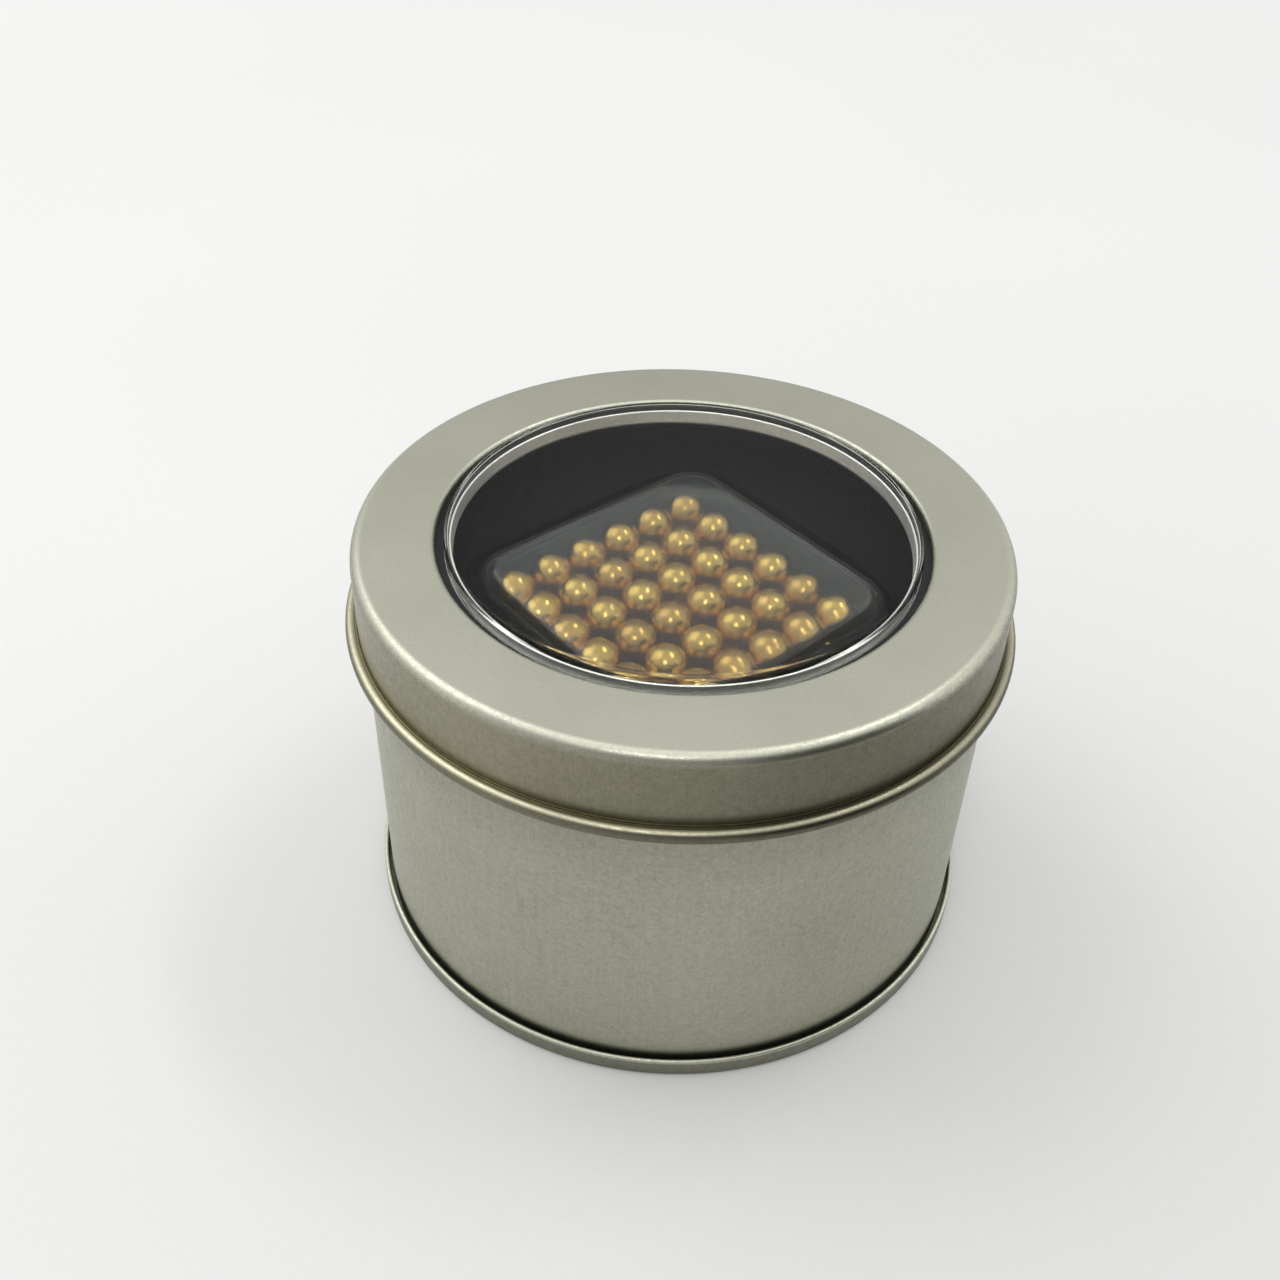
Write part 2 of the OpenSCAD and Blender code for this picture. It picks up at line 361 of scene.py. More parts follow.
def place(piece, body, material, slot, *nodes):
    """Gives a finished piece its material, its body and the CAD nodes that it stands for."""
    piece.data.materials.clear()
    piece.data.materials.append(material)
    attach(piece, body)
    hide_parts(*nodes)


# ---------------------------------------------------------------- shader helpers

class Graph:
    """A short way to add nodes to a material or a node group."""

    def __init__(self, tree):
        self.tree = tree

    def add(self, kind, settings=None, **inputs):
        node = self.tree.nodes.new(kind)
        for key, value in (settings or {}).items():
            setattr(node, key, value)
        for key, value in inputs.items():
            self.feed(node.inputs[key.replace("_", " ")], value)
        return node

    def feed(self, socket, value):
        if isinstance(value, bpy.types.NodeSocket):
            self.tree.links.new(value, socket)
        else:
            socket.default_value = value

    def math(self, operation, a, b):
        node = self.add("ShaderNodeMath", {"operation": operation})
        self.feed(node.inputs[0], a)
        self.feed(node.inputs[1], b)
        return node.outputs[0]

    def remap(self, value, low, high, new_low, new_high):
        node = self.add("ShaderNodeMapRange", Value=value)
        for key, number in zip(("From Min", "From Max", "To Min", "To Max"),
                               (low, high, new_low, new_high)):
            node.inputs[key].default_value = number
        return node.outputs[0]

    def mix(self, factor, a, b, blend="MIX"):
        node = self.add("ShaderNodeMix", {"data_type": "RGBA", "blend_type": blend})
        self.feed(node.inputs["Factor"], factor)
        self.feed(node.inputs[6], a)
        self.feed(node.inputs[7], b)
        return node.outputs[2]

    def noise(self, vector, scale, detail, roughness):
        node = self.add("ShaderNodeTexNoise", Vector=vector, Scale=scale, Detail=detail,
                        Roughness=roughness)
        return node.outputs["Fac"]

    def group(self, group, **inputs):
        return self.add("ShaderNodeGroup", {"node_tree": group}, **inputs)

    def bump(self, shader, height, strength, distance):
        node = self.add("ShaderNodeBump", Height=height, Strength=strength, Distance=distance)
        self.feed(shader.inputs["Normal"], node.outputs[0])


def new_group(name, inputs, outputs):
    """An empty shader node group with named sockets, and its graph, input and output nodes."""
    tree = bpy.data.node_groups.new(name, "ShaderNodeTree")
    for label, kind, value in inputs:
        socket = tree.interface.new_socket(label, in_out="INPUT", socket_type=kind)
        if value is not None:
            socket.default_value = value
    for label, kind in outputs:
        tree.interface.new_socket(label, in_out="OUTPUT", socket_type=kind)
    graph = Graph(tree)
    return graph, tree.nodes.new("NodeGroupInput"), tree.nodes.new("NodeGroupOutput")


def new_material(name):
    """A new material, its graph and its Principled shader."""
    material = bpy.data.materials.new(name)
    material.use_nodes = True
    return material, Graph(material.node_tree), node_of(material, "BSDF_PRINCIPLED")


def node_of(owner, kind):
    """The first node of that kind in a material or a world."""
    return next(n for n in owner.node_tree.nodes if n.type == kind)


def object_vector(graph):
    return graph.add("ShaderNodeTexCoord").outputs["Object"]


def rolled_grain_group():
    """Fine sand-like grain with faint upright drawing lines, as on satin sheet metal."""
    if "Rolled Grain" in bpy.data.node_groups:
        return bpy.data.node_groups["Rolled Grain"]
    graph, source, sink = new_group(
        "Rolled Grain",
        [("Vector", VECTOR, None), ("Grain", FLOAT, 1.0), ("Streaks", FLOAT, 0.3),
         ("Clouds", FLOAT, 0.5)],
        [("Tone", FLOAT), ("Rough", FLOAT), ("Height", FLOAT)],
    )
    vector = source.outputs["Vector"]
    fine = graph.noise(vector, 5200.0, 3.0, 0.65)
    coarse = graph.noise(vector, 1500.0, 3.0, 0.6)
    clouds = graph.noise(vector, 70.0, 2.0, 0.5)
    stretch = graph.add("ShaderNodeMapping", Vector=vector)
    stretch.inputs["Scale"].default_value = (1.0, 1.0, 0.03)
    lines = graph.noise(stretch.outputs[0], 3600.0, 2.0, 0.5)
    grain = graph.math("ADD", graph.remap(fine, 0.3, 0.7, -0.10, 0.10),
                       graph.remap(coarse, 0.3, 0.7, -0.07, 0.07))
    grain = graph.math("MULTIPLY", grain, source.outputs["Grain"])
    streaks = graph.math("MULTIPLY", graph.remap(lines, 0.3, 0.7, -0.12, 0.12),
                         source.outputs["Streaks"])
    drift = graph.math("MULTIPLY", graph.remap(clouds, 0.3, 0.7, -0.08, 0.08),
                       source.outputs["Clouds"])
    tone = graph.math("ADD", graph.math("ADD", grain, streaks), drift)
    graph.feed(sink.inputs["Tone"], graph.math("ADD", tone, 1.0))
    graph.feed(sink.inputs["Rough"], graph.math("MULTIPLY", grain, -0.8))
    graph.feed(sink.inputs["Height"], graph.math("ADD", fine, graph.math("MULTIPLY", coarse, 0.8)))
    return sink.id_data


def specks_group():
    """Sparse round specks: a mask that is 1 on a speck and 0 elsewhere."""
    if "Specks" in bpy.data.node_groups:
        return bpy.data.node_groups["Specks"]
    graph, source, sink = new_group(
        "Specks",
        [("Vector", VECTOR, None), ("Spacing", FLOAT, 250.0), ("Radius", FLOAT, 0.05),
         ("Share", FLOAT, 0.2)],
        [("Mask", FLOAT)],
    )
    cells = graph.add("ShaderNodeTexVoronoi", Vector=source.outputs["Vector"],
                      Scale=source.outputs["Spacing"])
    near = graph.math("LESS_THAN", cells.outputs["Distance"], source.outputs["Radius"])
    chosen = graph.add("ShaderNodeSeparateColor", Color=cells.outputs["Color"])
    kept = graph.math("LESS_THAN", chosen.outputs[0], source.outputs["Share"])
    graph.feed(sink.inputs["Mask"], graph.math("MULTIPLY", near, kept))
    return sink.id_data


def tinted(graph, base, factor):
    """A colour, plain or from a socket, made lighter or darker by a factor around 1."""
    if not isinstance(base, bpy.types.NodeSocket):
        rgb = graph.add("ShaderNodeRGB")
        rgb.outputs[0].default_value = (*base, 1.0)
        base = rgb.outputs[0]
    scaled = graph.add("ShaderNodeVectorMath", {"operation": "SCALE"}, Scale=factor)
    graph.feed(scaled.inputs[0], base)
    return scaled.outputs[0]


def painted_light_by_height(graph, height, bands):
    """Painted shade and painted highlights: a tone that follows (height, tone) pairs up the piece.
    """
    low, high = bands[0][0], bands[-1][0]
    ramp = graph.add("ShaderNodeValToRGB", Fac=graph.remap(height, low, high, 0.0, 1.0))
    stops = ramp.color_ramp.elements
    for i, (z, level) in enumerate(bands):
        stop = stops[i] if i < 2 else stops.new(1.0)
        stop.position = (z - low) / (high - low)
        stop.color = (level, level, level, 1.0)
    return ramp.outputs["Color"]


def browned_and_shaded(graph, height, across, along, colour_out, warm):
    """The colour, browner below a range of heights, and darker there towards the front right as
    painted shade.
    """
    fade = graph.remap(height, *warm, 1.0, 0.0)
    flat = graph.add("ShaderNodeCombineXYZ", X=across, Y=along)
    around = graph.add("ShaderNodeVectorMath", {"operation": "NORMALIZE"})
    graph.feed(around.inputs[0], flat.outputs[0])
    front = graph.add("ShaderNodeVectorMath", {"operation": "DOT_PRODUCT"})
    graph.feed(front.inputs[0], around.outputs[0])
    front.inputs[1].default_value = (0.64, -0.77, 0.0)
    # Painted shade: the front right is darkened in the colour itself.
    painted_shade_front_right = graph.remap(front.outputs["Value"], 0.4, 1.0, 1.0, 0.6)
    return graph.mix(fade, colour_out, tinted(graph, (1.0, 0.95, 0.84), painted_shade_front_right), "MULTIPLY")


def satin_tin(name, base, bands, warm=(), rough=0.42):
    """Satin sheet metal, toned by (height, tone) pairs of painted shade and painted highlights, and
    browner below the given heights with painted shade towards the front right.
    """
    material, graph, shader = new_material(name)
    vector = object_vector(graph)
    grain = graph.group(rolled_grain_group(), Vector=vector, Grain=1.0, Streaks=0.25, Clouds=0.5)
    parts = graph.add("ShaderNodeSeparateXYZ", Vector=vector)
    across, along, height = (parts.outputs[axis] for axis in "XYZ")
    # Painted shade and painted highlights by height, multiplied into the metal's colour.
    painted_shading = painted_light_by_height(graph, height, bands)
    colour_out = tinted(graph, base, graph.math("MULTIPLY", grain.outputs["Tone"], painted_shading))
    if warm:
        colour_out = browned_and_shaded(graph, height, across, along, colour_out, warm)
    marks = graph.group(specks_group(), Vector=vector, Spacing=150.0, Radius=0.035, Share=0.10)
    dark = graph.math("SUBTRACT", 1.0, graph.math("MULTIPLY", marks.outputs["Mask"], 0.55))
    graph.feed(shader.inputs["Base Color"], tinted(graph, colour_out, dark))
    shader.inputs["Metallic"].default_value = 1.0
    graph.feed(shader.inputs["Roughness"], graph.math("ADD", grain.outputs["Rough"], rough))
    graph.bump(shader, grain.outputs["Height"], 0.35, 0.02 * MM)
    return material


def bright_tin(name, base):
    """The bare inner side of the sheet: paler, with a soft sheen."""
    material, graph, shader = new_material(name)
    grain = graph.group(rolled_grain_group(), Vector=object_vector(graph), Grain=0.4, Streaks=0.2,
                        Clouds=0.4)
    graph.feed(shader.inputs["Base Color"], tinted(graph, base, grain.outputs["Tone"]))
    shader.inputs["Metallic"].default_value = 1.0
    graph.feed(shader.inputs["Roughness"], graph.math("ADD", grain.outputs["Rough"], 0.46))
    return material


def lamps_through(material, graph, shader, tint):
    """Lets lamps shine through a clear piece, so that what is behind it stays lit."""
    clear = graph.add("ShaderNodeBsdfTransparent")
    clear.inputs["Color"].default_value = (*tint, 1.0)
    path = graph.add("ShaderNodeLightPath")
    either = graph.math("MAXIMUM", path.outputs["Is Shadow Ray"], path.outputs["Is Diffuse Ray"])
    mixed = graph.add("ShaderNodeMixShader")
    graph.feed(mixed.inputs[0], either)
    graph.feed(mixed.inputs[1], shader.outputs[0])
    graph.feed(mixed.inputs[2], clear.outputs[0])
    graph.feed(node_of(material, "OUTPUT_MATERIAL").inputs["Surface"], mixed.outputs[0])


def clear_plastic(name):
    """The window: clear, with faint ripples from forming and a few rubbed spots."""
    material, graph, shader = new_material(name)
    vector = object_vector(graph)
    ripple = graph.noise(vector, 90.0, 1.0, 0.4)
    rubbed = graph.noise(vector, 260.0, 4.0, 0.6)
    shader.inputs["Base Color"].default_value = (0.985, 0.99, 0.985, 1.0)
    graph.feed(shader.inputs["Roughness"], graph.remap(rubbed, 0.45, 0.8, 0.01, 0.04))
    shader.inputs["IOR"].default_value = 1.22
    shader.inputs["Transmission Weight"].default_value = 1.0
    shader.inputs["Specular Tint"].default_value = (0.25, 0.25, 0.25, 1.0)
    graph.bump(shader, ripple, 0.2, 0.15 * MM)
    lamps_through(material, graph, shader, (0.95, 0.96, 0.95))
    return material


def hazy_plastic(name, haze):
    """Slightly frosted plastic: what lies behind it is soft, with a grey veil over it."""
    material, graph, shader = new_material(name)
    vector = object_vector(graph)
    cloud = graph.noise(vector, 160.0, 3.0, 0.55)
    fine = graph.noise(vector, 2600.0, 2.0, 0.6)
    tone = graph.remap(cloud, 0.3, 0.7, 0.96, 1.0)
    graph.feed(shader.inputs["Base Color"], tinted(graph, haze, tone))
    graph.feed(shader.inputs["Roughness"], graph.remap(cloud, 0.35, 0.7, 0.13, 0.18))
    shader.inputs["IOR"].default_value = 1.45
    shader.inputs["Transmission Weight"].default_value = 0.98
    shader.inputs["Specular Tint"].default_value = (0.0, 0.0, 0.0, 1.0)
    shader.inputs["Coat Weight"].default_value = 0.32
    shader.inputs["Coat Roughness"].default_value = 0.04
    shader.inputs["Coat IOR"].default_value = 1.45
    graph.bump(shader, fine, 0.12, 0.02 * MM)
    lamps_through(material, graph, shader, (0.86, 0.88, 0.87))
    return material


def black_rubber(name, base):
    """Matt black rubber, a little dusty."""
    material, graph, shader = new_material(name)
    dust = graph.noise(object_vector(graph), 800.0, 3.0, 0.6)
    tone = graph.remap(dust, 0.3, 0.7, 0.8, 1.6)
    graph.feed(shader.inputs["Base Color"], tinted(graph, base, tone))
    graph.feed(shader.inputs["Roughness"], graph.remap(dust, 0.3, 0.7, 0.55, 0.7))
    shader.inputs["Specular IOR Level"].default_value = 0.3
    return material


def black_foam(name, base):
    """Fine-celled black foam with a little pale dust."""
    material, graph, shader = new_material(name)
    vector = object_vector(graph)
    cells = graph.add("ShaderNodeTexVoronoi", Vector=vector, Scale=2600.0)
    soft = graph.noise(vector, 900.0, 3.0, 0.6)
    tone = graph.remap(graph.math("ADD", cells.outputs["Distance"], soft), 0.4, 1.3, 0.55, 1.5)
    dust = graph.group(specks_group(), Vector=vector, Spacing=230.0, Radius=0.045, Share=0.10)
    colour_out = graph.mix(graph.math("MULTIPLY", dust.outputs["Mask"], 0.5),
                           tinted(graph, base, tone), (0.45, 0.45, 0.42, 1.0))
    graph.feed(shader.inputs["Base Color"], colour_out)
    graph.feed(shader.inputs["Roughness"], graph.remap(soft, 0.3, 0.7, 0.9, 1.0))
    shader.inputs["Specular IOR Level"].default_value = 0.05
    height = graph.math("ADD", cells.outputs["Distance"], graph.math("MULTIPLY", soft, 0.6))
    graph.bump(shader, height, 0.25, 0.1 * MM)
    return material


def gold_plate(name, gold, copper):
    """Gold plating, whose tone varies from ball to ball and in worn patches."""
    material, graph, shader = new_material(name)
    vector = object_vector(graph)
    own = graph.add("ShaderNodeAttribute", {"attribute_name": "ball_tone"}).outputs["Fac"]
    worn = graph.noise(vector, 520.0, 4.0, 0.6)
    tone = graph.math("ADD", graph.math("MULTIPLY", own, 0.75),
                      graph.remap(worn, 0.35, 0.7, -0.15, 0.35))
    colour_out = graph.mix(graph.math("MINIMUM", tone, 1.0), (*gold, 1.0), (*copper, 1.0))
    graph.feed(shader.inputs["Base Color"], colour_out)
    shader.inputs["Metallic"].default_value = 1.0
    scratches = graph.noise(vector, 2400.0, 3.0, 0.6)
    rough = graph.math("ADD", graph.remap(worn, 0.35, 0.75, 0.11, 0.17),
                       graph.remap(scratches, 0.3, 0.8, -0.03, 0.05))
    graph.feed(shader.inputs["Roughness"], rough)
    graph.bump(shader, scratches, 0.08, 0.01 * MM)
    return material


# ---------------------------------------------------------------- pieces

def material_named(name, maker, *values, **words):
    """The material of that name, made the first time it is asked for."""
    return bpy.data.materials.get(name) or maker(name, *values, **words)


def skirt_radius(tin):
    return tin.body_r + tin.lid_gap + tin.sheet


def hole_radius(tin):
    return skirt_radius(tin) - tin.lid_ring_w


class TIN_OT_body_wall(Operator):
    """Make the rolled wall with its hemmed top edge and side seam"""

    bl_idname = "window_tin.body_wall"
    bl_label = "Body Wall"

    def execute(self, context):
        tin, _, _, finish = sizes()
        middle = tin.body_r - tin.sheet / 2
        hem_r = (tin.hem_w - tin.sheet) / 2
        hem_z = top("body_wall") - tin.hem_w / 2
        path = [(middle, bottom("body_wall"))]
        path += arc(tin.body_r - tin.hem_w / 2, hem_z, hem_r, 0, 180, 8)
        path.append((middle - 2 * hem_r, top("body_wall") - tin.hem_h))
        wall = sweep("tin_wall", sheet_outline(path, tin.sheet), round_plan,
                     self.seam_angles(tin))
        self.press_seam(wall, tin)
        foot, shade = top("base_end"), bottom("lid_shell")
        # Painted shade: the wall is darker at its foot by the rim and towards the lid above.
        metal = material_named("satin wall", satin_tin, finish.tin, bands=(
            (foot, 0.45), (foot + 1 * MM, 0.92), (shade - 8 * MM, 0.86), (shade, 0.7),
        ))
        place(wall, "tin", metal, "tin", "body_wall")
        return {"FINISHED"}

    def seam_line(self, tin):
        """Where the lap ends: the angle of the line's middle, and half its width as an angle."""
        return math.pi / 2 - tin.seam_lap / 2 / tin.body_r, tin.seam_depth * 2 / tin.body_r

    def seam_angles(self, tin):
        """Even angles, and closer ones where the side seam's line lies."""
        centre, half_line = self.seam_line(tin)
        close = [centre + half_line * k / 2 for k in range(-3, 4)]
        even = [a for a in even_angles() if abs(a - centre) > 2 * half_line]
        return sorted(even + close)

    def press_seam(self, wall, tin):
        """Presses the line beside the lap into the outside of the wall."""
        centre, half_line = self.seam_line(tin)
        for vertex in wall.data.vertices:
            x, y, z = vertex.co
            r = math.hypot(x, y)
            off = abs(math.atan2(y, x) - centre) / half_line
            if off < 1 and r > tin.body_r - tin.sheet / 2:
                pressed = r - tin.seam_depth * math.cos(off * math.pi / 2)
                vertex.co = (x * pressed / r, y * pressed / r, z)


class TIN_OT_base(Operator):
    """Make the base: foot rim, countersunk panel and pressed ring"""

    bl_idname = "window_tin.base"
    bl_label = "Base"

    def execute(self, context):
        tin, _, _, finish = sizes()
        half = tin.rim_sheet / 2
        rim_top = top("base_end")
        chuck_r = tin.body_r - tin.sheet - SEAM_SLACK - half
        panel = tin.panel_z + half
        ring = chuck_r + half - tin.panel_border
        ramp = 0.5 * MM
        path = [(tin.rim_r - tin.rim_t + half, 0.8 * MM)]
        path += arc(tin.rim_r - tin.rim_t / 2, rim_top - tin.rim_t / 2, tin.rim_t / 2 - half,
                    180, 0, 8)
        path += fillet([
            (tin.rim_r - half, rim_top / 2),
            (tin.rim_r - half, half, SOFT_BEND),
            (chuck_r, half, TIGHT_BEND),
            (chuck_r, panel, SOFT_BEND),
            (ring + ramp, panel, WIDE_BEND),
            (ring - ramp, panel + tin.panel_step, WIDE_BEND),
            (0.0, panel + tin.panel_step),
        ])
        base = sweep("tin_base", sheet_outline(path, tin.rim_sheet))
        # Painted shade low on the rim and a painted highlight along its top edge.
        metal = material_named("satin base", satin_tin, finish.tin, bands=(
            (0.0, 0.42), (rim_top - tin.rim_t, 0.55), (rim_top - tin.rim_t / 2, 1.1),
            (rim_top, 1.2),
        ))
        place(base, "tin", metal, "tin_base", "base_end")
        return {"FINISHED"}


class TIN_OT_lid(Operator):
    """Make the pressed lid with its hole, shoulder, skirt and curled bead"""

    bl_idname = "window_tin.lid"
    bl_label = "Lid"

    def execute(self, context):
        tin, _, _, finish = sizes()
        half = tin.sheet / 2
        lid_top, bead_z = top("lid_shell"), bottom("lid_shell")
        skirt = skirt_radius(tin) - half
        hole = hole_radius(tin) + half
        curl = (tin.bead_d - tin.sheet) / 2
        path = fillet([
            (hole, lid_top - tin.hole_lip_h),
            (hole, lid_top - half, tin.hole_edge_r - half),
            (skirt, lid_top - half, tin.shoulder_r - half),
            (skirt, bead_z + tin.bead_d),
        ], steps=12)
        path += arc(skirt + curl, bead_z + tin.bead_d / 2, curl, 180, 485, 40)
        lid = sweep("tin_lid", sheet_outline(path, tin.sheet))
        bead_top = bead_z + tin.bead_d
        shoulder = tin.shoulder_r
        # Painted highlights along the bead's crest and over the shoulder onto the top; painted
        # shade on the bead's underside, in the crease above it and on the skirt.
        metal = material_named("satin lid", satin_tin, finish.tin, bands=(
            (bead_z, 0.6), (bead_top - 0.8 * MM, 0.4), (bead_top - 0.3 * MM, 0.35),
            (bead_top - 0.08 * MM, 1.3), (bead_top + 0.02 * MM, 0.9), (bead_top + 0.15 * MM, 0.2),
            (bead_top + 1.2 * MM, 0.58), (lid_top - shoulder, 0.62),
            (lid_top - 0.4 * shoulder, 0.72), (lid_top, 1.2),
        ), warm=(lid_top - shoulder, lid_top - 0.5 * shoulder), rough=0.38)
        place(lid, "lid", metal, "tin", "lid_shell")
        return {"FINISHED"}


class TIN_OT_window(Operator):
    """Make the clear window, its black seal and the ring that holds them"""

    bl_idname = "window_tin.window"
    bl_label = "Window, Seal and Retainer"

    def execute(self, context):
        tin, window, _, finish = sizes()
        self.make_pane(tin, window)
        self.make_seal(tin, window, finish)
        self.make_retainer(tin, window, finish)
        return {"FINISHED"}

    def make_pane(self, tin, window):
        half = window.thickness / 2
        wall = hole_radius(tin) - window.gap - half
        high = top("window_pane") - half
        flat_r = wall - window.edge_r
        path = fillet([
            (reach("window_pane") - half, bottom("window_pane") + half),
            (wall, bottom("window_pane") + half, SOFT_BEND),
            (wall, high, window.edge_r - half),
            (flat_r, high),
        ], steps=10)
        steps = 8
        for k in range(1, steps + 1):
            r = flat_r * (1 - k / steps)
            path.append((r, high - window.crown * (1 - (r / flat_r) ** 2)))
        pane = sweep("window_pane_clear", sheet_outline(path, window.thickness))
        clear = material_named("clear window", clear_plastic)
        place(pane, "lid", clear, "clear_window", "window_pane")

    def make_seal(self, tin, window, finish):
        inner = hole_radius(tin) - window.gap + window.seal_gap
        outer, low, high = reach("window_seal"), bottom("window_seal"), top("window_seal")
        edge = (high - low) * 0.3
        outline = fillet([(inner, low, edge), (outer, low, edge), (outer, high, edge),
                          (inner, high, edge)], steps=4)
        seal = sweep("window_washer", outline)
        black = material_named("black seal", black_rubber, finish.seal)
        place(seal, "lid", black, "black_seal", "window_seal")

    def make_retainer(self, tin, window, finish):
        half = tin.sheet / 2
        high = top("window_retainer") - half
        lip_r = hole_radius(tin) - window.gap - window.thickness - window.clearance - half
        wall = reach("window_retainer") - window.retainer_flange - half
        low = bottom("window_retainer") + half
        path = fillet([
            (lip_r, low - half + window.lip_h - half),
            (lip_r - window.lean, low, LIP_BEND),
            (wall, low, SOFT_BEND),
            (wall, high, SOFT_BEND),
            (reach("window_retainer") - half, high),
        ])
        ring = sweep("window_ring", sheet_outline(path, tin.sheet))
        bright = material_named("bright tin", bright_tin, finish.bright)
        place(ring, "lid", bright, "bright_tin", "window_retainer")


class TIN_OT_foam(Operator):
    """Make the foam ring with its square pocket, and the pad under it"""

    bl_idname = "window_tin.foam"
    bl_label = "Foam"

    def execute(self, context):
        _, _, box, finish = sizes()
        half = box_half(box)
        pocket = half + box.pocket_gap
        square = square_plan(pocket, box.corner + box.pocket_gap, box.turn)
        outer, edge = reach("foam_insert"), box.foam_edge
        low, high = bottom("foam_insert"), top("foam_insert")
        rounded = fillet([(outer, low, edge), (outer, high, edge), (pocket, high, edge),
                          (pocket, low, edge)], steps=3)
        outline = divided(rounded + rounded[:1], 1.5 * MM)[:-1]
        ring = sweep("foam_ring", outline, pocket_plan(pocket, square, outer))
        self.roughen(ring, box.foam_cells)
        foam = material_named("black foam", black_foam, finish.foam)
        place(ring, "foam", foam, "black_foam", "foam_insert")

        outer, low, high = reach("foam_base_pad"), bottom("foam_base_pad"), top("foam_base_pad")
        outline = divided(fillet([(0, high), (outer, high, edge), (outer, low, edge), (0, low)],
                                 steps=3), 2 * MM)
        pad = sweep("foam_pad", outline)
        self.roughen(pad, box.foam_cells)
        place(pad, "tin", foam, "black_foam", "foam_base_pad")
        return {"FINISHED"}

    def roughen(self, piece, height):
        """Sinks the skin of the foam a little, unevenly, so that it never stands proud."""
        for vertex in piece.data.vertices:
            bumps = noise.noise(vertex.co / FOAM_LUMP)
            vertex.co -= vertex.normal * height * (0.5 + 0.5 * max(-1.0, min(1.0, bumps)))


def box_half(box):
    """Half the side of the plastic box, worked out from its turned outline."""
    spread = abs(math.cos(box.turn)) + abs(math.sin(box.turn))
    return (reach("box_cover") - box.corner) / spread + box.corner


class TIN_OT_plastic_box(Operator):
    """Make the hazy plastic box: the lower tray and the cover"""

    bl_idname = "window_tin.plastic_box"
    bl_label = "Plastic Box"

    def execute(self, context):
        _, _, box, finish = sizes()
        half = box_half(box)
        plan = square_plan(half, box.corner, box.turn)
        hazy = material_named("hazy plastic", hazy_plastic, finish.haze)

        high, low = top("box_cover"), bottom("box_cover")
        outline = fillet([
            (0, high),
            (half, high, box.edge),
            (half, low, MOULD_EDGE),
            (half - box.wall, low, MOULD_EDGE),
            (half - box.wall, high - box.wall, box.edge - box.wall),
            (0, high - box.wall),
        ])
        cover = sweep("box_lid", supported(outline, closed=False), plan)
        place(cover, "cover", hazy, "hazy_plastic", "box_cover")

        neck = half - box.wall - box.neck_gap
        neck_top, floor = top("box_tray"), bottom("box_tray")
        shoulder = neck_top - box.neck_h
        outline = fillet([
            (0, floor),
            (half, floor, box.edge),
            (half, shoulder, MOULD_EDGE),
            (neck, shoulder, MOULD_EDGE),
            (neck, neck_top, MOULD_EDGE),
            (neck - box.neck_wall, neck_top, MOULD_EDGE),
            (neck - box.neck_wall, floor + box.wall, WIDE_BEND),
            (0, floor + box.wall),
        ])
        tray = sweep("box_base", supported(outline, closed=False), plan)
        place(tray, "tray", hazy, "hazy_plastic", "box_tray")
        return {"FINISHED"}


def ball_grid_tree(material):
    """A Geometry Nodes tree that lays one square layer of balls."""
    tree = bpy.data.node_groups.new("Ball Layer", "GeometryNodeTree")
    tree.is_modifier = True
    face = tree.interface
    face.new_socket("Geometry", in_out="OUTPUT", socket_type="NodeSocketGeometry")
    for label, kind in (("Count", INTEGER), ("Pitch", FLOAT), ("Diameter", FLOAT),
                        ("Middle", VECTOR), ("Turn", FLOAT), ("Seed", INTEGER)):
        face.new_socket(label, in_out="INPUT", socket_type=kind)
    graph = Graph(tree)
    source, sink = tree.nodes.new("NodeGroupInput"), tree.nodes.new("NodeGroupOutput")
    count, pitch = source.outputs["Count"], source.outputs["Pitch"]
    side = graph.math("MULTIPLY", graph.math("SUBTRACT", count, 1.0), pitch)
    grid = graph.add("GeometryNodeMeshGrid", Size_X=side, Size_Y=side, Vertices_X=count,
                     Vertices_Y=count)
    turn = graph.add("ShaderNodeCombineXYZ", Z=source.outputs["Turn"])
    placed = graph.add("GeometryNodeTransform", Geometry=grid.outputs["Mesh"],
                       Translation=source.outputs["Middle"], Rotation=turn.outputs[0])
    radius = graph.math("DIVIDE", source.outputs["Diameter"], 2.0)
    ball = graph.add("GeometryNodeMeshUVSphere", Segments=BALL_SEGMENTS, Rings=BALL_RINGS,
                     Radius=radius)
    laid = graph.add("GeometryNodeInstanceOnPoints", Points=placed.outputs["Geometry"],
                     Instance=ball.outputs["Mesh"])
    tone = graph.add("FunctionNodeRandomValue", {"data_type": "FLOAT"}, Seed=source.outputs["Seed"])
    stored = graph.add("GeometryNodeStoreNamedAttribute",
                       {"data_type": "FLOAT", "domain": "INSTANCE"},
                       Geometry=laid.outputs["Instances"], Name="ball_tone")
    tree.links.new(tone.outputs[1], stored.inputs["Value"])
    real = graph.add("GeometryNodeRealizeInstances", Geometry=stored.outputs["Geometry"])
    smooth = graph.add("GeometryNodeSetShadeSmooth", Geometry=real.outputs["Geometry"])
    plated = graph.add("GeometryNodeSetMaterial", Geometry=smooth.outputs["Geometry"],
                       Material=material)
    tree.links.new(plated.outputs["Geometry"], sink.inputs[0])
    return tree


def grown(name, tree, values):
    """The plain mesh object that a Geometry Nodes tree gives for these inputs."""
    piece = bpy.data.objects.new(name, bpy.data.meshes.new(name))
    bpy.context.scene.collection.objects.link(piece)
    modifier = piece.modifiers.new("Grow", "NODES")
    modifier.node_group = tree
    for item in tree.interface.items_tree:
        if item.item_type == "SOCKET" and item.in_out == "INPUT" and item.name in values:
            modifier[item.identifier] = values[item.name]
    evaluated = piece.evaluated_get(bpy.context.evaluated_depsgraph_get())
    mesh = bpy.data.meshes.new_from_object(evaluated)
    piece.modifiers.clear()
    piece.data = mesh
    return piece


